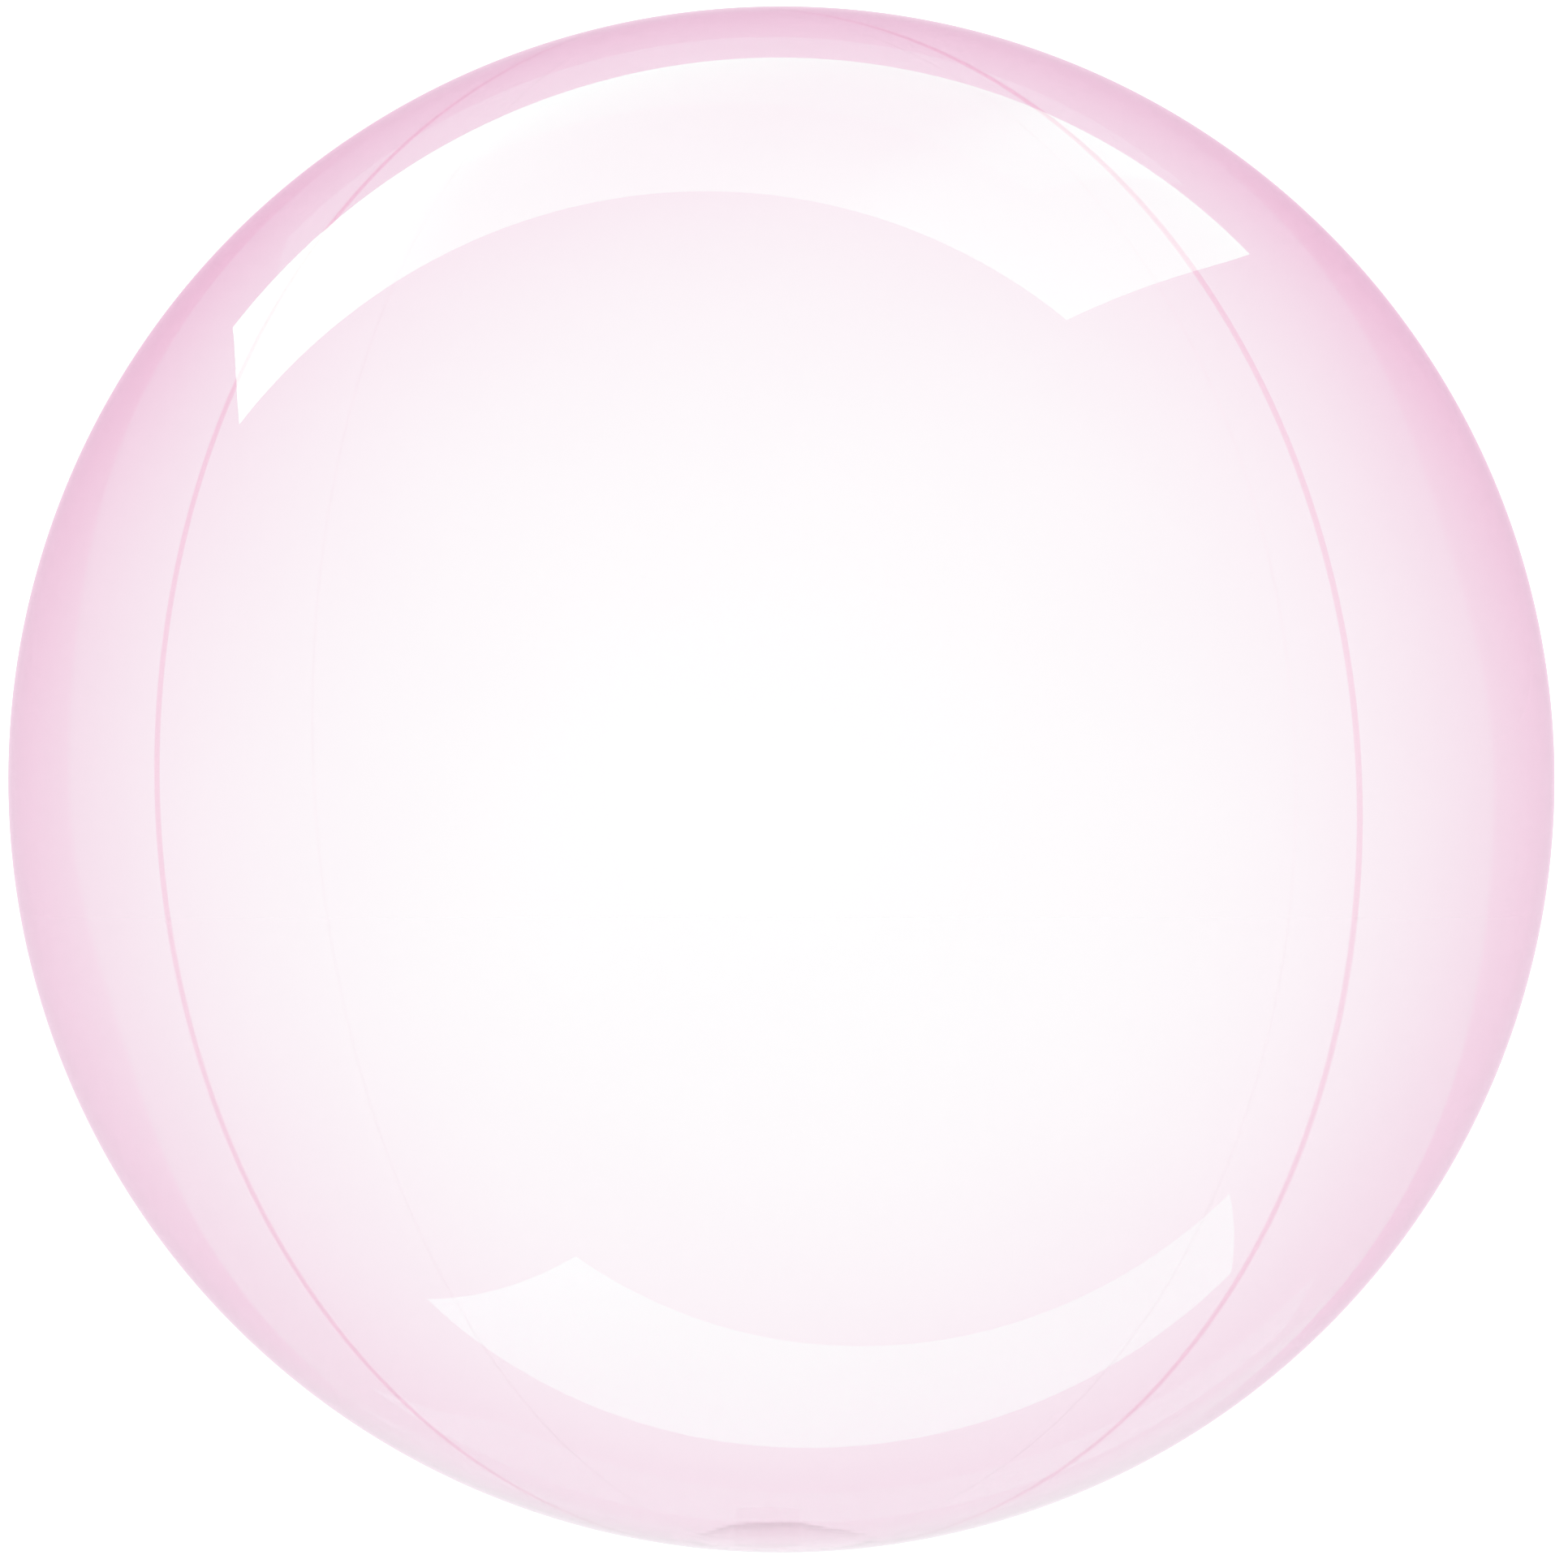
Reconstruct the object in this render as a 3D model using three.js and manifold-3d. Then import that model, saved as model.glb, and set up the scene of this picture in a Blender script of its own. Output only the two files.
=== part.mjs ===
// A clear bubble balloon: four gores of thin film welded edge to edge into a ball, with a flat fill neck.
// Millimetres, +Z up, the front faces -Y. The origin is the middle of the small flat spot it rests on.
import * as THREE from "three";
import { mergeVertices } from "three/addons/utils/BufferGeometryUtils.js";
import Module from "manifold-3d";

const wasm = await Module();
wasm.setup();

// The inflated ball
const ballDiameter = 508;
const flatSpotRadius = 30;

// The gores, named in order round the ball, and the seams between them
const goreNames = ["front_gore", "right_gore", "rear_gore", "left_gore"];
const firstSeamTurn = 42.5; // degrees from the front, where the seam right of it crosses the equator
const topPole = { right: -32.6, front: 32.8 }; // where the seams meet on top, from the ball's middle line
const bottomPole = { right: -4.6, front: 20.6 }; // and underneath
const poleHole = 2; // how far from a pole the film stops
const seamGap = 0.3;
const weldWidth = 1.7; // over both edges
const weldRise = 0.3;
const weldSlope = 0.2;

// How finely the film is faceted
const goreRows = 44;
const goreColumns = 18; // between the welds

// The fill neck, pressed flat under the ball and led out behind it
const neckWidth = 22;
const neckLength = 96;
const neckThickness = 0.5;
const neckCorner = 5;
const neckClearance = 0.3;

const ballRadius = ballDiameter / 2;
const centre = new THREE.Vector3(0, 0, Math.sqrt(ballRadius ** 2 - flatSpotRadius ** 2));

const film = { color: 0xf6dce9, roughness: 0.05, metalness: 0, transparent: true, opacity: 0.4 };
const neckFilm = { color: 0xf2d3e3, roughness: 0.12, metalness: 0, transparent: true, opacity: 0.6 };

// The ball's skin at an offset from its middle line, above it or below it.
function polePoint({ right, front }, side) {
  const rise = Math.sqrt(ballRadius ** 2 - right ** 2 - front ** 2);
  return new THREE.Vector3(right, -front, side * rise).add(centre);
}

const top = polePoint(topPole, 1);
const bottom = polePoint(bottomPole, -1);

// The line from pole to pole that every seam's plane turns about, with two directions square to it.
const spine = top.clone().sub(bottom).normalize();
const ahead = new THREE.Vector3(0, -1, 0).projectOnPlane(spine).normalize();
const aside = spine.clone().cross(ahead);

function outwards(angle) {
  return ahead.clone().multiplyScalar(Math.cos(angle)).addScaledVector(aside, Math.sin(angle));
}

// The angle about the spine of the seam that crosses the equator at a turn from the front.
function seamAngle(turnDegrees) {
  const turn = THREE.MathUtils.degToRad(turnDegrees);
  const crossing = new THREE.Vector3(Math.sin(turn), -Math.cos(turn), 0).multiplyScalar(ballRadius);
  const reach = crossing.add(centre).sub(bottom);
  return Math.atan2(reach.dot(aside), reach.dot(ahead));
}

// A point on the ball, in the half plane at an angle about the spine, part of the way up from the bottom
// pole to the top one along the round edge that the half plane cuts.
function skinPoint(angle, part, rise) {
  const out = outwards(angle);
  const across = out.clone().cross(spine);
  const depth = centre.clone().sub(bottom).dot(across);
  const middle = centre.clone().addScaledVector(across, -depth);
  const edgeRadius = Math.sqrt(ballRadius ** 2 - depth ** 2);
  const from = bottom.clone().sub(middle);
  const to = top.clone().sub(middle);
  const start = Math.atan2(from.dot(spine), from.dot(out));
  const end = Math.atan2(to.dot(spine), to.dot(out));
  const bend = THREE.MathUtils.lerp(start, end, part);
  const point = middle
    .addScaledVector(out, edgeRadius * Math.cos(bend))
    .addScaledVector(spine, edgeRadius * Math.sin(bend));
  return point.sub(centre).multiplyScalar(1 + rise / ballRadius).add(centre);
}

function distanceFromSpine(point) {
  const reach = point.clone().sub(bottom);
  return reach.addScaledVector(spine, -reach.dot(spine)).length();
}

// Where a gore's columns stand: a weld's flat top and slope along each edge, and even steps between.
function columnAt(index) {
  const last = goreColumns + 4;
  const fromEdge = Math.min(index, last - index);
  const edgeOffsets = [seamGap / 2, (weldWidth - weldSlope) / 2, (weldWidth + weldSlope) / 2];
  const offset = edgeOffsets[Math.min(fromEdge, 2)];
  const share = THREE.MathUtils.clamp((index - 2) / goreColumns, 0, 1);
  return { offset, share, rise: fromEdge < 2 ? weldRise : 0 };
}

// One gore, solid to the spine: a box whose outer face is bent to the ball and whose inner face is
// drawn together to the line where the two seam planes meet.
function goreSolid(left, right) {
  const columns = goreColumns + 4;
  const geometry = new THREE.BoxGeometry(1, 1, 1, columns, goreRows, 1);
  const position = geometry.attributes.position;
  const tip = poleHole / (Math.PI * ballRadius);
  const setBack = seamGap / 2 / Math.sin((right - left) / 2);
  const corner = outwards((left + right) / 2).multiplyScalar(setBack);
  for (let i = 0; i < position.count; i += 1) {
    const part = THREE.MathUtils.lerp(tip, 1 - tip, position.getY(i) + 0.5);
    const { offset, share, rise } = columnAt(Math.round((position.getX(i) + 0.5) * columns));
    const atEdge = distanceFromSpine(skinPoint(share < 0.5 ? left : right, part, 0));
    const narrow = Math.asin(Math.min(offset / atEdge, Math.sin((right - left) / 2)));
    const angle = THREE.MathUtils.lerp(left + narrow, right - narrow, share);
    const outer = skinPoint(angle, part, rise);
    const inner = bottom.clone().lerp(top, part).add(corner);
    const point = position.getZ(i) > 0 ? outer : inner;
    position.setXYZ(i, point.x, point.y, point.z);
  }
  return solidFrom(geometry);
}

// A closed geometry as a solid: its corners merged, and the facets drawn together to a line left out.
function solidFrom(geometry) {
  geometry.deleteAttribute("normal");
  geometry.deleteAttribute("uv");
  const merged = mergeVertices(geometry, 1e-4);
  const corners = [...merged.index.array];
  const facets = [];
  for (let i = 0; i < corners.length; i += 3) {
    const facet = corners.slice(i, i + 3);
    if (new Set(facet).size === 3) facets.push(...facet);
  }
  return new wasm.Manifold(
    new wasm.Mesh({
      numProp: 3,
      vertProperties: new Float32Array(merged.attributes.position.array),
      triVerts: new Uint32Array(facets),
    }),
  );
}

function meshFrom(solid, name, look) {
  const { vertProperties, triVerts } = solid.getMesh();
  const geometry = new THREE.BufferGeometry();
  geometry.setAttribute("position", new THREE.BufferAttribute(vertProperties, 3));
  geometry.setIndex(new THREE.BufferAttribute(triVerts, 1));
  const mesh = new THREE.Mesh(geometry.toNonIndexed(), new THREE.MeshStandardMaterial(look));
  mesh.geometry.computeVertexNormals();
  mesh.name = name;
  return mesh;
}

// The neck's outline seen from above, running back from the bottom pole, grown by a margin all round.
function neckOutline(margin) {
  const half = neckWidth / 2 + margin;
  const corner = neckCorner + margin;
  const front = bottom.y + half - margin;
  const back = bottom.y + neckLength + margin - corner;
  const outline = new THREE.Shape();
  outline.absarc(bottom.x, front, half, Math.PI, 2 * Math.PI, false);
  outline.absarc(bottom.x + half - corner, back, corner, 0, Math.PI / 2, false);
  outline.absarc(bottom.x - half + corner, back, corner, Math.PI / 2, Math.PI, false);
  outline.closePath();
  return outline;
}

function neckSolid(margin, lowest, depth) {
  const plate = new THREE.ExtrudeGeometry(neckOutline(margin), {
    depth,
    curveSegments: 8,
    bevelEnabled: false,
  });
  plate.translate(0, 0, lowest);
  return solidFrom(plate);
}

const balloon = new THREE.Group();
const neckRoom = neckSolid(neckClearance, -1, neckThickness + neckClearance + 1);
const goreTurn = 360 / goreNames.length;

goreNames.forEach((name, index) => {
  const left = seamAngle(firstSeamTurn + (index - 1) * goreTurn);
  const onward = seamAngle(firstSeamTurn + index * goreTurn);
  const right = onward > left ? onward : onward + 2 * Math.PI;
  const gore = goreSolid(left, right).trimByPlane([0, 0, 1], 0).subtract(neckRoom);
  balloon.add(meshFrom(gore, name, film));
});

balloon.add(meshFrom(neckSolid(0, 0, neckThickness), "fill_neck", neckFilm));

export default balloon;
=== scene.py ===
# A clear bubble balloon: four gores of tinted film welded into a ball, resting on a flat spot over its neck.
import math

import bmesh
import bpy
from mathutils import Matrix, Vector


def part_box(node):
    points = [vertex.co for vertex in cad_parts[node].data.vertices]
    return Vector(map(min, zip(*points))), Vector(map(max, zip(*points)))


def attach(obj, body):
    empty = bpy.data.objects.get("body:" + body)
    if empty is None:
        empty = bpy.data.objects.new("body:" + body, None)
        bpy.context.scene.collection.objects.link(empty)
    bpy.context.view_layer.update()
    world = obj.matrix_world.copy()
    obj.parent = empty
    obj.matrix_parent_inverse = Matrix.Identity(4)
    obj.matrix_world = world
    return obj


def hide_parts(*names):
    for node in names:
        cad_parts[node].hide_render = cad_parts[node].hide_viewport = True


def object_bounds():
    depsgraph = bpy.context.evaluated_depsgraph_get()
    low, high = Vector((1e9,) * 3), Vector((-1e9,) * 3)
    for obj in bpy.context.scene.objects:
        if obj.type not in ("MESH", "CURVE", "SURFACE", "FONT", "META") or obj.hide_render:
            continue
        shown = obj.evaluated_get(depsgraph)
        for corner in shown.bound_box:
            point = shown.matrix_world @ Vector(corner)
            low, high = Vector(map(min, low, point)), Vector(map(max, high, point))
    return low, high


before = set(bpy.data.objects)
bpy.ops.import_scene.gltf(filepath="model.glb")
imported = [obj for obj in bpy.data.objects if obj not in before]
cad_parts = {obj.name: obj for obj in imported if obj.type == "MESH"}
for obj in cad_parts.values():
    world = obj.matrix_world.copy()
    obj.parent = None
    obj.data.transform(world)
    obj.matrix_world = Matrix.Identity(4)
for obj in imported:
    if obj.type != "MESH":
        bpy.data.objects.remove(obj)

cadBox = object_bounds()
scene = bpy.context.scene
print("stage 1: frame loaded")


ball = {
    "flatSpotRadius": 0.030,
    "insideBox": 0.0001,         # how far the film stays inside the box of the solids
    "topPole": (-0.0326, -0.0328),     # where the seams meet, from the middle line, seen from above
    "bottomPole": (-0.0046, -0.0206),
    "firstSeamTurn": 42.5,       # degrees from the front to the seam on its right
    "sharpFrom": 50,             # degrees between faces that meet in a crisp edge
    "slack": 0.000001,           # how far a point on the ball may seem off it
    "merge": 0.000002,           # nearer points than this are one
}

boxLow, boxHigh = cadBox
ballRadius = min(boxHigh.x - boxLow.x, boxHigh.y - boxLow.y) / 2 - ball["insideBox"]
centre = Vector((0, 0, math.sqrt(ballRadius ** 2 - ball["flatSpotRadius"] ** 2)))


def polePoint(place, side):
    rise = math.sqrt(ballRadius ** 2 - place[0] ** 2 - place[1] ** 2)
    return Vector((place[0], place[1], side * rise)) + centre


top = polePoint(ball["topPole"], 1)
bottom = polePoint(ball["bottomPole"], -1)

# the line from pole to pole that every seam's plane turns about
spine = (top - bottom).normalized()
ahead = Vector((0, -1, 0))
ahead = (ahead - spine * ahead.dot(spine)).normalized()
aside = spine.cross(ahead)


def outwards(angle):
    return ahead * math.cos(angle) + aside * math.sin(angle)


def seamAngle(index):
    # the angle about the spine of a seam that crosses the equator a quarter turn from the last one
    turn = math.radians(ball["firstSeamTurn"] + index * 90)
    crossing = centre + Vector((math.sin(turn), -math.cos(turn), 0)) * ballRadius
    reach = crossing - bottom
    return math.atan2(reach.dot(aside), reach.dot(ahead))


def skinPoint(angle, part, rise=0.0):
    # part of the way from the bottom pole to the top one, on the round edge that a half plane cuts
    out = outwards(angle)
    across = out.cross(spine)
    depth = (centre - bottom).dot(across)
    middle = centre - across * depth
    edgeRadius = math.sqrt(ballRadius ** 2 - depth ** 2)
    start = math.atan2((bottom - middle).dot(spine), (bottom - middle).dot(out))
    end = math.atan2((top - middle).dot(spine), (top - middle).dot(out))
    bend = start + (end - start) * part
    point = middle + out * edgeRadius * math.cos(bend) + spine * edgeRadius * math.sin(bend)
    return centre + (point - centre) * (1 + rise / ballRadius)


class Wire:
    # a socket that takes part in Python arithmetic; each operation adds a Math node to its tree
    def __init__(self, tree, socket=None):
        self.tree = tree
        self.socket = socket

    def node(self, kind, settings=None, inputs=None, output=0):
        made = self.tree.nodes.new(kind)
        for name, value in (settings or {}).items():
            if name == "stops":
                fillRamp(made.color_ramp, value)
            else:
                setattr(made, name, value)
        for key, value in (inputs or {}).items():
            if isinstance(value, Wire):
                self.tree.links.new(value.socket, made.inputs[key])
            else:
                made.inputs[key].default_value = value
        return Wire(self.tree, made.outputs[output] if len(made.outputs) else None)

    def maths(self, operation, first, second):
        return self.node("ShaderNodeMath", {"operation": operation}, {0: first, 1: second})

    def spread(self, low, high, kind="LINEAR"):
        # 0 at the low value, 1 at the high one and held there beyond them
        return self.node("ShaderNodeMapRange", {"interpolation_type": kind}, {0: self, 1: low, 2: high})

    def beside(self, output):
        # another output of the node that this one comes from
        return Wire(self.tree, self.socket.node.outputs[output])

    def __add__(self, other):
        return self.maths("ADD", self, other)

    def __abs__(self):
        return self.node("ShaderNodeMath", {"operation": "ABSOLUTE"}, {0: self})

    def __sub__(self, other):
        return self.maths("SUBTRACT", self, other)

    def __rsub__(self, other):
        return self.maths("SUBTRACT", other, self)

    def __mul__(self, other):
        return self.maths("MULTIPLY", self, other)

    __radd__ = __add__
    __rmul__ = __mul__


def fillRamp(ramp, stops):
    while len(ramp.elements) < len(stops):
        ramp.elements.new(1)
    for element, (position, colour) in zip(ramp.elements, stops):
        element.position = position
        element.color = (*colour, 1)


def newMaterial(name):
    material = bpy.data.materials.new(name)
    material.use_nodes = True
    material.node_tree.nodes.clear()
    return material, Wire(material.node_tree)


def colourMix(start, factor, first, second):
    return start.node(
        "ShaderNodeMix",
        {"data_type": "RGBA", "blend_type": "MIX"},
        {"Factor": factor, 6: (*first, 1), 7: (*second, 1)},
        output=2,
    )


film = {
    "wall": 0.00025,
    "columns": 120,
    "rows": 240,
    "gap": 0.00001,              # between two gores' edges, under the weld
    "nearSpine": 0.0001,         # closer to the poles than this the gap is turned no further
    "faceOn": 0.9,               # a face turned less than this to the middle is an edge of the film
    "lift": 0.00012,             # how far the pressed film stays off the floor
    "ior": 1.1,
    "taken": (0.06, 0.1975, 0.118),    # what one wall takes off light that goes straight through
    "coat": 1.0,
    "dullWithin": 0.0360,        # of the middle of the flat spot, where the floor creases it
    "glossyFrom": 0.0375,
    "cloudScale": 9.0,
    "cloudTint": (0.985, 0.97, 0.98),
    "clearShare": 0.97,
    "haze": 0.06,
}


def filmVolume(start, taken, thickness):
    # a plain absorption that takes these shares of light off along the thickness of a wall
    strongest = 0.98
    density = max(taken) / thickness / strongest
    colour = tuple(1 - share / thickness / density for share in taken)
    return start.node("ShaderNodeVolumeAbsorption", None, {"Color": (*colour, 1), "Density": density})


def filmMaterial(name, look):
    material, start = newMaterial(name)
    place = start.node("ShaderNodeTexCoord", output="Object")
    cloud = start.node(
        "ShaderNodeTexNoise",
        {"noise_dimensions": "3D"},
        {"Vector": place, "Scale": look["cloudScale"], "Detail": 2.0, "Roughness": 0.5},
    )
    tint = colourMix(start, cloud, (1.0, 1.0, 1.0), look["cloudTint"])
    surface = start.node(
        "ShaderNodeBsdfPrincipled",
        None,
        {
            "Base Color": tint,
            "Roughness": haze(start, look) if look["haze"] else 0.0,
            "IOR": look["ior"],
            "Transmission Weight": 1.0,
            "Coat Weight": gloss(start, place, look) if look["coat"] else 0.0,
            "Coat Roughness": 0.0,
            "Coat IOR": 1.5,
        },
    )
    volume = filmVolume(start, look["taken"], look["wall"])
    start.node("ShaderNodeOutputMaterial", None, {"Surface": surface, "Volume": volume})
    return material


def gloss(start, place, look):
    # a coat where rays enter the film and not where they leave it, and none where the floor creases it
    inside = start.node("ShaderNodeNewGeometry", output="Backfacing")
    away = start.node("ShaderNodeVectorMath", {"operation": "LENGTH"}, {0: place}, output="Value")
    clean = away.spread(look["dullWithin"], look["glossyFrom"])
    return (1 - inside) * clean * look["coat"]


def haze(start, look):
    # the heat of sealing leaves film a little hazy close to its welds, and clear elsewhere
    along = start.node("ShaderNodeTexCoord", output="UV")
    share = start.node("ShaderNodeSeparateXYZ", None, {0: along}, output="X")
    fromMiddle = abs(share - 0.5) * 2
    return fromMiddle.spread(look["clearShare"], 1.0) * look["haze"]


neck = {
    "thickness": 0.0005,
    "clearance": 0.0001,
    "slope": 0.009,              # over this distance the ball's film comes down beside the neck
    "corner": 0.005,
    "columns": 88,
    "rows": 160,
    "ply": 0.00010,              # both plies where they lie flat on each other
    "puff": 0.00020,             # the air left between them
    "crinkle": 0.00005,
    "waves": ((310, 420), (-90, 900), (1150, -260)),   # crinkles to a metre, along and across
    "calmEdge": 0.004,           # the crinkles die out this near to the long edges
    "offFloor": 0.000005,
    "parting": 0.003,            # from a side weld to where the plies are apart
    "mouth": 0.012,              # from the ball's end to where the plies are apart
    "edge": 0.00025,
    "sideWeld": (0.0012, 0.0034),      # from the long edges, where the plies are welded
    "sideWeldRise": 0.00006,
    "sleeve": 0.0046,            # half the width of the valve sleeve inside
    "sleeveRise": 0.00004,
    "sleeveEnd": 0.070,          # how far along the neck the sleeve reaches
    "sleeveEdge": 0.0004,
    "wall": 0.0005,
    "ior": 1.02,
    "taken": (0.002, 0.008, 0.005),
    "coat": 0.0,
    "cloudScale": 40.0,
    "cloudTint": (0.997, 0.990, 0.994),
    "clearShare": 0.70,
    "haze": 0.10,
}
neckLow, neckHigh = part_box("fill_neck")


def restHeight(x, y):
    # how high the pressed film lies: on the floor, or on the neck under it
    gapX = max(neckLow.x - x, x - neckHigh.x, 0)
    gapY = max(neckLow.y - y, y - neckHigh.y, 0)
    away = math.hypot(gapX, gapY) / neck["slope"]
    share = max(0.0, 1 - away)
    return (neck["thickness"] + neck["clearance"]) * share


def pressDown(point, lift):
    point.z = max(point.z, restHeight(point.x, point.y) + lift)


def finishPiece(bm, name, material, slot, *nodes):
    if bm.calc_volume(signed=True) < 0:
        bmesh.ops.reverse_faces(bm, faces=bm.faces[:])
    mesh = bpy.data.meshes.new(name)
    bm.to_mesh(mesh)
    bm.free()
    mesh.shade_smooth()
    mesh.set_sharp_from_angle(angle=math.radians(ball["sharpFrom"]))
    mesh.materials.append(material)
    piece = bpy.data.objects.new(name, mesh)
    scene.collection.objects.link(piece)
    piece.visible_shadow = False
    piece.visible_diffuse = False
    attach(piece, "root")
    if nodes:
        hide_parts(*nodes)
    print("made", name, len(mesh.polygons), "faces")
    return piece


def roundNormals(mesh):
    # normals of a true ball wherever the film isn't pressed out of round
    facing = [Vector(corner.vector) for corner in mesh.corner_normals]
    least = ballRadius - film["wall"] - ball["slack"]
    for face in mesh.polygons:
        side = face.normal.dot((face.center - centre).normalized())
        if abs(side) < film["faceOn"]:
            continue
        for loop in face.loop_indices:
            reach = mesh.vertices[mesh.loops[loop].vertex_index].co - centre
            if reach.length > least:
                facing[loop] = reach.normalized() * math.copysign(1, side)
    mesh.normals_split_custom_set(facing)


def gridOn(columns, rows):
    bm = bmesh.new()
    bm.loops.layers.uv.new("UVMap")
    bmesh.ops.create_grid(bm, x_segments=columns, y_segments=rows, size=0.5, calc_uvs=True)
    return bm


def thicken(bm, wall, lift):
    # the sheet copied inwards by the thickness of its wall and joined to itself round its edge
    outer = list(bm.verts)
    made = bmesh.ops.extrude_face_region(bm, geom=bm.faces[:], use_keep_orig=True)["geom"]
    inner = [item for item in made if isinstance(item, bmesh.types.BMVert)]
    for vertex in inner:
        vertex.co = centre + (vertex.co - centre) * (1 - wall / ballRadius)
        pressDown(vertex.co, lift + wall)
    for vertex in outer:
        pressDown(vertex.co, lift)
    bmesh.ops.recalc_face_normals(bm, faces=bm.faces[:])


def distanceFromSpine(point):
    reach = point - bottom
    return (reach - spine * reach.dot(spine)).length


def gapTurn(angle, part):
    # how far an edge stands back from its seam, as a turn about the spine
    reach = max(distanceFromSpine(skinPoint(angle, part)), film["nearSpine"])
    return math.asin(film["gap"] / 2 / reach)


def makeGore(name, left, right, material):
    bm = gridOn(film["columns"], film["rows"])
    rowEdges = {}
    for vertex in bm.verts:
        part = min(max(vertex.co.y + 0.5, 0), 1)
        share = min(max(vertex.co.x + 0.5, 0), 1)
        key = round(part * film["rows"])
        if key not in rowEdges:
            rowEdges[key] = [gapTurn(side, part) for side in (left, right)]
        start = left + rowEdges[key][0]
        end = right - rowEdges[key][1]
        vertex.co = skinPoint(start + (end - start) * share, part)
    bmesh.ops.remove_doubles(bm, verts=bm.verts[:], dist=ball["merge"])
    thicken(bm, film["wall"], film["lift"])
    bmesh.ops.remove_doubles(bm, verts=bm.verts[:], dist=ball["merge"])
    piece = finishPiece(bm, name + "_film", material, "clear_film", name)
    roundNormals(piece.data)
    return piece


gores = ["front_gore", "right_gore", "rear_gore", "left_gore"]
clearFilm = filmMaterial("clear tinted film", film)
for index, name in enumerate(gores):
    left = seamAngle(index - 1)
    right = seamAngle(index)
    if right < left:
        right += 2 * math.pi
    makeGore(name, left, right, clearFilm)
print("stage 2: film gores made")


weld = {
    "width": 0.0030,
    "under": 0.00003,            # below the outer side of the film, which it is one with
    "wall": 0.00019,
    "columns": 8,
    "rows": 720,
    "ends": 0.0006,              # how near to the pole a weld runs
    "thinned": 0.9,              # of its wall, lost at its long edges
    "fullness": 8,               # how late across its width it thins
    "ior": 1.0,
    "taken": (0.010, 0.138, 0.082),
    "coat": 0.0,
    "cloudScale": 60.0,
    "cloudTint": (0.99, 0.97, 0.98),
    "haze": 0.0,
}
faintWeld = {
    **weld,
    "width": 0.0016,
    "taken": (0.001, 0.012, 0.008),
    "cloudTint": (0.999, 0.994, 0.996),
}


def makeWeld(name, angle, look, material):
    bm = gridOn(look["columns"], look["rows"])
    across = outwards(angle).cross(spine)
    tip = look["ends"] / (math.pi * ballRadius)
    outer = list(bm.verts)
    made = bmesh.ops.extrude_face_region(bm, geom=bm.faces[:], use_keep_orig=True)["geom"]
    inner = {item for item in made if isinstance(item, bmesh.types.BMVert)}
    for vertex in outer + list(inner):
        part = tip + (1 - 2 * tip) * (vertex.co.y + 0.5)
        share = vertex.co.x * 2
        half = look["wall"] / 2 * (1 - look["thinned"] * share ** look["fullness"])
        depth = look["under"] + look["wall"] / 2 + (half if vertex in inner else -half)
        point = skinPoint(angle, part) + across * share * look["width"] / 2
        vertex.co = centre + (point - centre).normalized() * (ballRadius - depth)
        pressDown(vertex.co, film["lift"] + depth)
    bmesh.ops.recalc_face_normals(bm, faces=bm.faces[:])
    return finishPiece(bm, name, material, "weld_film")


weldFilm = filmMaterial("fused film", weld)
faintWeldFilm = filmMaterial("fused film of the back seams", faintWeld)
seams = ["front_right_weld", "rear_right_weld", "rear_left_weld", "front_left_weld"]
for index, name in enumerate(seams):
    if name.startswith("rear"):
        makeWeld(name, seamAngle(index), faintWeld, faintWeldFilm)
    else:
        makeWeld(name, seamAngle(index), weld, weldFilm)
print("stage 3: welds made")


def smoothStep(low, high, value):
    share = min(max((value - low) / (high - low), 0), 1)
    return share * share * (3 - 2 * share)


def neckCrinkle(across, along, inwards):
    first, second, third = [lengthwise * along + sideways * across for lengthwise, sideways in neck["waves"]]
    wave = math.sin(first) * math.sin(second) + 0.5 * math.sin(third)
    return neck["crinkle"] * (0.5 + wave / 3) * smoothStep(0, neck["calmEdge"], inwards)


def neckHeights(across, along, halfWidth):
    # the lower and the upper side of the neck, from the floor, at a place on it
    inwards = halfWidth - abs(across)
    start, end = neck["sideWeld"]
    edge = neck["edge"]
    crinkle = neckCrinkle(across, along, inwards)
    apart = smoothStep(end, end + neck["parting"], inwards) * smoothStep(0, neck["mouth"], along)
    puff = neck["puff"] * apart * math.cos(math.pi * across / halfWidth / 2)
    sealed = smoothStep(start - edge, start, inwards) * (1 - smoothStep(end, end + edge, inwards))
    sleeved = 1 - smoothStep(neck["sleeve"], neck["sleeve"] + neck["sleeveEdge"], abs(across))
    sleeved *= 1 - smoothStep(neck["sleeveEnd"], neck["sleeveEnd"] + 2 * neck["sleeveEdge"], along)
    under = neck["offFloor"] + crinkle * 0.4
    over = under + neck["ply"] + puff + crinkle * 0.6
    over += neck["sideWeldRise"] * sealed + neck["sleeveRise"] * sleeved
    return under, min(over, neck["thickness"] - neck["offFloor"])


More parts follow.
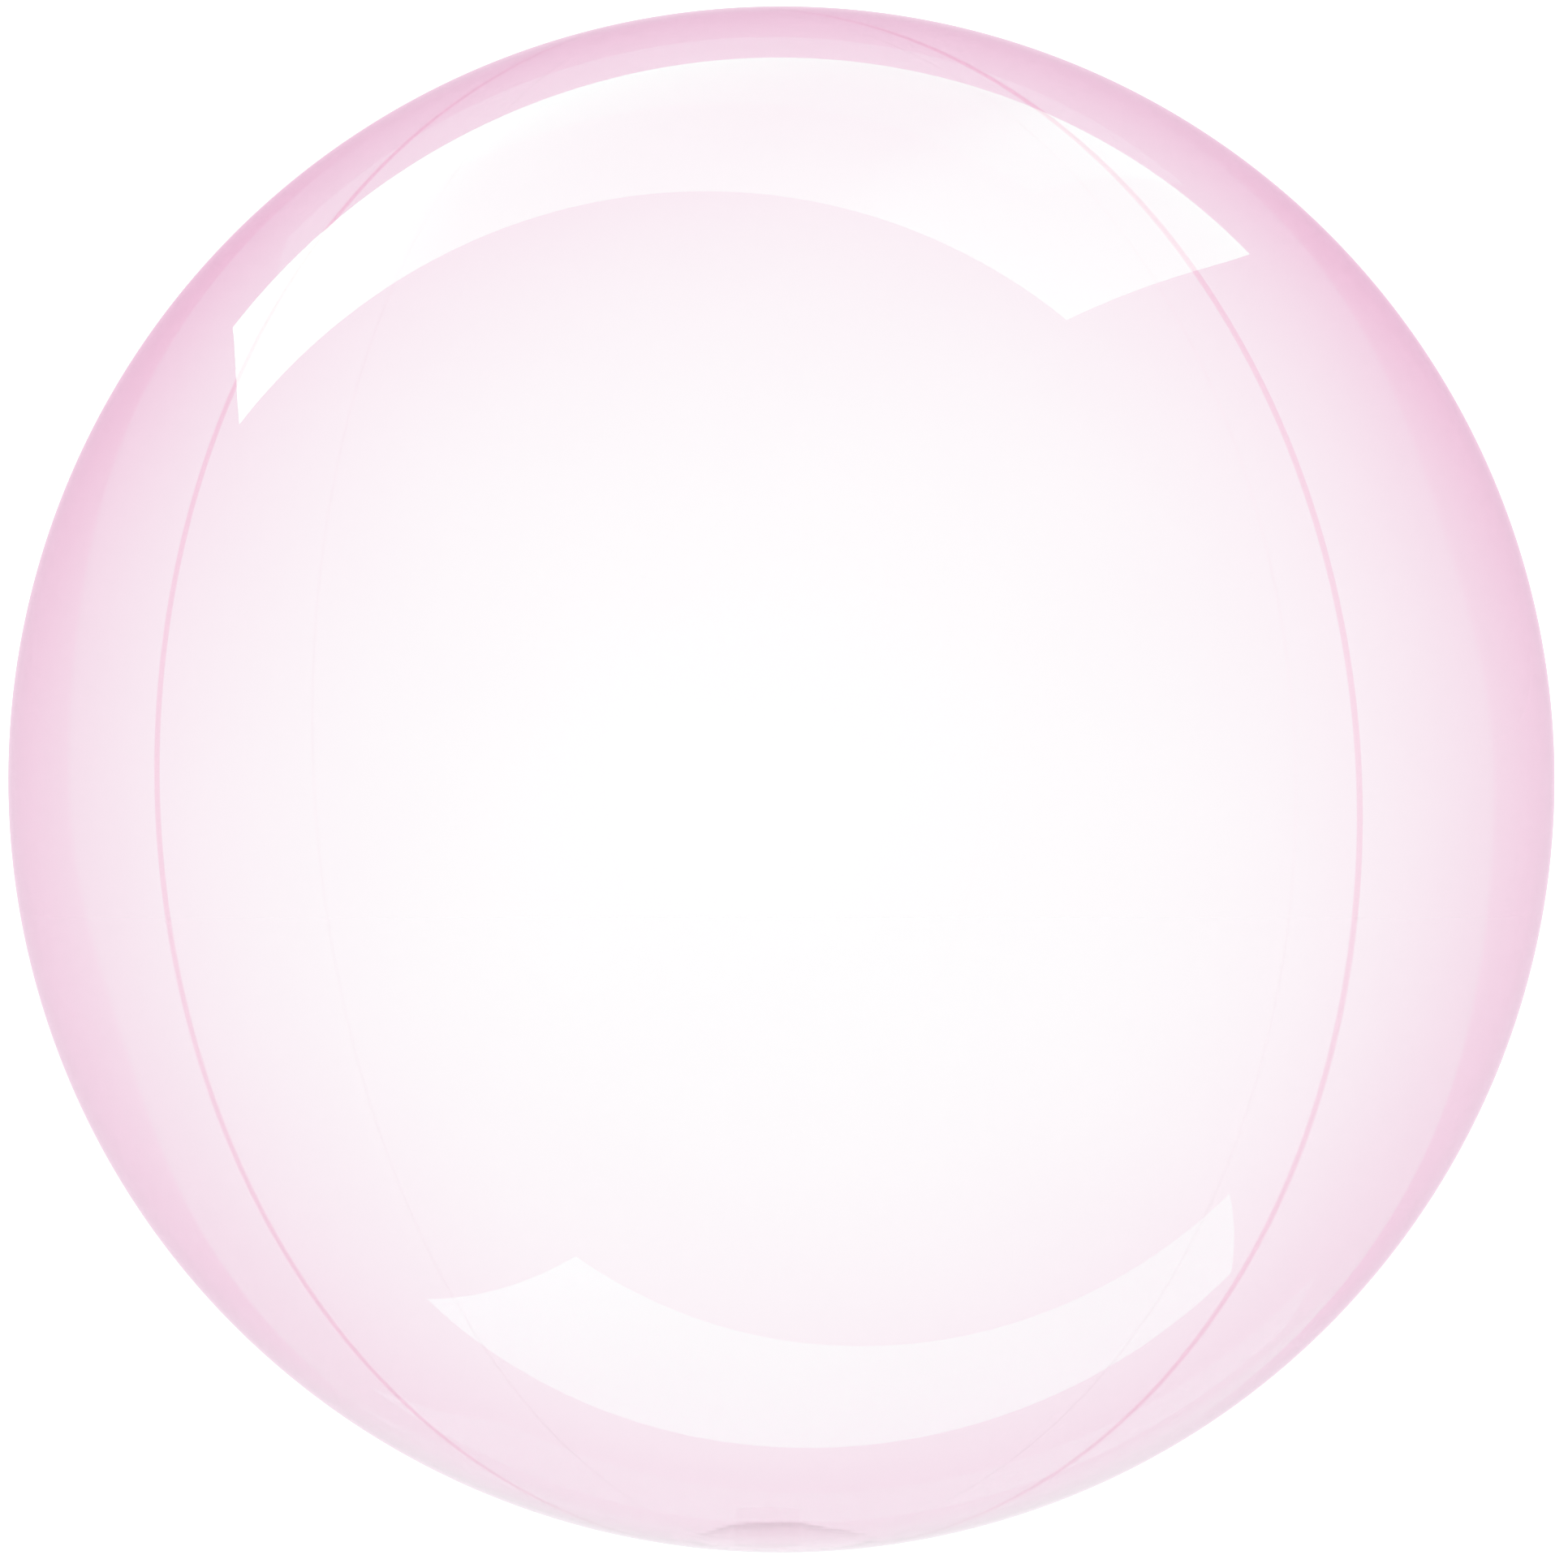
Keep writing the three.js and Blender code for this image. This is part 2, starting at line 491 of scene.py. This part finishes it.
def makeNeck():
    bm = gridOn(neck["columns"], neck["rows"])
    halfWidth = (neckHigh.x - neckLow.x) / 2 - ball["insideBox"]
    length = neckHigh.y - neckLow.y - 2 * ball["insideBox"]
    middle = (neckHigh.x + neckLow.x) / 2
    outer = list(bm.verts)
    made = bmesh.ops.extrude_face_region(bm, geom=bm.faces[:], use_keep_orig=True)["geom"]
    lower = {item for item in made if isinstance(item, bmesh.types.BMVert)}
    for vertex in outer + list(lower):
        along = (vertex.co.y + 0.5) * length
        fromEnd = length - along
        rounding = max(neck["corner"] - fromEnd, 0)
        front = max(halfWidth - along, 0)
        narrow = neck["corner"] - math.sqrt(max(neck["corner"] ** 2 - rounding ** 2, 0))
        width = min(halfWidth - narrow, math.sqrt(max(halfWidth ** 2 - front ** 2, 1e-10)))
        across = vertex.co.x * 2 * width
        under, over = neckHeights(across, along, halfWidth)
        height = under if vertex in lower else over
        vertex.co = Vector((middle + across, neckLow.y + ball["insideBox"] + along, height))
    bmesh.ops.recalc_face_normals(bm, faces=bm.faces[:])
    return finishPiece(bm, "fill_neck_film", filmMaterial("neck film", neck), "neck_film", "fill_neck")


makeNeck()
print("stage 4: neck made")


studio = {
    "floorRadius": 8.0,
    "floorSides": 96,
    "panelGrid": (24, 8),
    "floorColour": (1.0, 1.0, 1.0),
    "backLight": (1.155, 1.545, 1.305),     # what the room behind the ball gives off, past white
    "cameraDistance": 7.0,       # in ball radii
    "outlineShare": 0.9865,      # how much of the frame's width the ball fills
    "lookRight": 0.00166,
    "lookDown": 0.0029,
}


def makeStage():
    bm = bmesh.new()
    bmesh.ops.create_circle(bm, cap_ends=True, segments=studio["floorSides"], radius=studio["floorRadius"])
    mesh = bpy.data.meshes.new("floor")
    bm.to_mesh(mesh)
    bm.free()
    floor = bpy.data.objects.new("floor", mesh)
    scene.collection.objects.link(floor)
    material, start = newMaterial("pale floor")
    surface = start.node("ShaderNodeBsdfDiffuse", None, {"Color": (*studio["floorColour"], 1)})
    start.node("ShaderNodeOutputMaterial", None, {"Surface": surface})
    mesh.materials.append(material)
    floor.visible_glossy = False


surround = {
    # painted reflection: what a mirror sees from below, level and above, each at its share of the height,
    # pinker above; no other ray sees these tints
    "tints": [(0.3, (1.0, 0.97, 1.0)), (0.5, (1.0, 0.89, 0.96)), (0.7, (0.94, 0.62, 0.80))],
    "overhead": 0.2,             # the painted shade patch is lost where a direction is this much more up than aside
    "aside": -0.05,
}
# painted shade: a darker pink patch behind the ball that only mirrored rays see; it paints shaded crescents
# down the ball's left and right sides
mirroredShadePatch = {
    "halfWidth": 0.80,           # of a direction, from straight behind the ball
    "halfHeight": 0.42,
    "tilt": 0.10,
    "outer": 1.06,
    "inner": 0.94,
    "edgeColour": (0.985, 0.76, 0.88),
    "middleColour": (0.985, 0.85, 0.93),
}


def shadePatchBehind(start, x, z):
    # how much of the painted shade patch a direction sees in the mirrored surround, and the darker pink it
    # paints there
    wide = abs(x * (1 / mirroredShadePatch["halfWidth"]))
    high = abs((z - x * mirroredShadePatch["tilt"]) * (1 / mirroredShadePatch["halfHeight"]))
    reach = wide * wide * wide + high * high * high
    shadeShare = reach.spread(mirroredShadePatch["outer"], mirroredShadePatch["inner"], "SMOOTHSTEP")
    shadeColour = colourMix(start, reach, mirroredShadePatch["middleColour"], mirroredShadePatch["edgeColour"])
    return shadeShare, shadeColour


def mirrorRays(start):
    # only rays that a surface mirrors, and not those that pass through it
    glossy = start.node("ShaderNodeLightPath", output="Is Glossy Ray")
    through = glossy.beside("Is Transmission Ray")
    return glossy * (1 - through), through


def makeWorld():
    world = bpy.data.worlds.new("studio")
    scene.world = world
    world.use_nodes = True
    world.node_tree.nodes.clear()
    start = Wire(world.node_tree)
    direction = start.node("ShaderNodeTexCoord", output="Generated")
    x = start.node("ShaderNodeSeparateXYZ", None, {0: direction}, output="X")
    y = x.beside("Y")
    z = x.beside("Z")
    tinted = start.node("ShaderNodeValToRGB", {"stops": surround["tints"]}, {0: z * 0.5 + 0.5})
    shadeShare, shadeColour = shadePatchBehind(start, x, z)
    sidesOnly = (abs(z) - abs(x)).spread(surround["overhead"], surround["aside"], "SMOOTHSTEP")
    behind = y.maths("GREATER_THAN", y, 0.0)
    tinted = start.node(
        "ShaderNodeMix",
        {"data_type": "RGBA", "blend_type": "MULTIPLY"},
        {"Factor": shadeShare * behind * sidesOnly, 6: tinted, 7: shadeColour},
        output=2,
    )
    plain = start.node("ShaderNodeBackground", None, {"Color": (*studio["backLight"], 1)})
    seen = start.node("ShaderNodeBackground", None, {"Color": tinted})
    # painted reflection: mirrored rays see the pink surround and its painted shade patch, every other ray
    # sees the plain background
    mirrored, _ = mirrorRays(start)
    mixed = start.node("ShaderNodeMixShader", None, {0: mirrored, 1: plain, 2: seen})
    start.node("ShaderNodeOutputWorld", None, {"Surface": mixed})


# Places and sizes are in ball radii. A heading is a bearing, in degrees from the right towards the back,
# and a rise above level.
panels = {
    "front_panel": {
        "distance": 8.0,
        "towards": (135.3, 52.0),
        "length": 15.4,
        "lengthHeading": (-18.4, -11.3),
        "depth": 5.1,
        "depthHeading": (-109.6, -6.0),
        "bow": (0.0, -0.25, 1.1),        # how far its middle is lifted out of flat
        "dents": (0.037, 0.018),         # how far each short edge bows to the right
        "strength": 3.0,
        "nearer": 0.08,                  # how much brighter it is along its nearer edge
        "dim": (0.45, 0.63, 0.53),
        "bright": (0.63, 1.20, 0.90),
        # from dim (0) to bright (1), at shares of its length
        "glow": [(0, 1), (0.25, 0.95), (0.5, 0.3), (0.75, 0), (0.83, 0), (0.88, 0.3), (1, 0.45)],
        "throughFilm": False,
    },
    "back_panel": {
        "distance": 8.0,
        "towards": (114.4, 51.4),
        "length": 11.1,
        "lengthHeading": (-22.9, -9.1),
        "depth": 3.6,
        "depthHeading": (-111.2, 1.3),
        "bow": (0.0, 0.0, 0.0),
        "dents": (0.0, 0.0),
        "strength": 4.5,
        "nearer": -0.04,
        "dim": (0.335, 0.84, 0.53),
        "bright": (0.39, 0.97, 0.64),
        "glow": [(0, 0.3), (0.15, 0), (0.88, 0), (1, 1)],
        "throughFilm": True,
    },
}


def heading(bearing, rise):
    turn = math.radians(bearing)
    lift = math.radians(rise)
    return Vector((math.cos(turn) * math.cos(lift), math.sin(turn) * math.cos(lift), math.sin(lift)))


def glowStops(panel):
    dim = Vector(panel["dim"])
    bright = Vector(panel["bright"])
    return [(place, dim.lerp(bright, share)) for place, share in panel["glow"]]


def panelMaterial(name, panel):
    # a glowing panel that shows only as a reflection: off the film itself, or through it off its far side
    material, start = newMaterial(name)
    mirrored, through = mirrorRays(start)
    place = start.node("ShaderNodeTexCoord", output="UV")
    across = start.node("ShaderNodeSeparateXYZ", None, {0: place}, output="X")
    deep = across.beside("Y")
    glow = start.node("ShaderNodeValToRGB", {"stops": glowStops(panel)}, {0: across})
    strength = ((deep - 0.5) * (2 * panel["nearer"]) + 1) * panel["strength"]
    light = start.node("ShaderNodeEmission", None, {"Color": glow, "Strength": strength})
    clear = start.node("ShaderNodeBsdfTransparent")
    shown = through if panel["throughFilm"] else mirrored
    mixed = start.node("ShaderNodeMixShader", None, {0: shown, 1: clear, 2: light})
    start.node("ShaderNodeOutputMaterial", None, {"Surface": mixed})
    material.cycles.emission_sampling = "NONE"
    return material


def makePanel(name, panel):
    bm = gridOn(*studio["panelGrid"])
    middle = heading(*panel["towards"]) * panel["distance"]
    halfLength = heading(*panel["lengthHeading"]) * panel["length"] / 2
    halfDepth = heading(*panel["depthHeading"]) * panel["depth"] / 2
    leftDent, rightDent = panel["dents"]
    for vertex in bm.verts:
        across = vertex.co.x * 2
        deep = vertex.co.y * 2
        dent = leftDent * ((1 - across) / 2) ** 2 + rightDent * ((1 + across) / 2) ** 2
        across += dent * (1 - deep ** 2)
        point = middle + across * halfLength + deep * halfDepth
        point += (1 - across ** 2) * Vector(panel["bow"])
        vertex.co = centre + point * ballRadius
    mesh = bpy.data.meshes.new(name)
    bm.to_mesh(mesh)
    bm.free()
    mesh.materials.append(panelMaterial(name, panel))
    made = bpy.data.objects.new(name, mesh)
    scene.collection.objects.link(made)
    made.visible_camera = False
    made.visible_diffuse = False
    made.visible_shadow = False


def makeCamera():
    camera = bpy.data.cameras.new("camera")
    holder = bpy.data.objects.new("camera", camera)
    scene.collection.objects.link(holder)
    distance = studio["cameraDistance"]
    camera.sensor_width = 36
    camera.lens = studio["outlineShare"] * camera.sensor_width / 2 * math.sqrt(distance ** 2 - 1)
    camera.shift_x = studio["lookRight"]
    camera.shift_y = -studio["lookDown"]
    camera.clip_start = 0.05
    camera.clip_end = 60
    holder.location = centre + Vector((0, -distance * ballRadius, 0))
    holder.rotation_euler = (math.radians(90), 0, 0)
    scene.camera = holder


makeCamera()
makeStage()
makeWorld()
for name, panel in panels.items():
    makePanel(name, panel)
scene.view_settings.view_transform = "Standard"
scene.view_settings.look = "None"
print("stage 5: studio made")
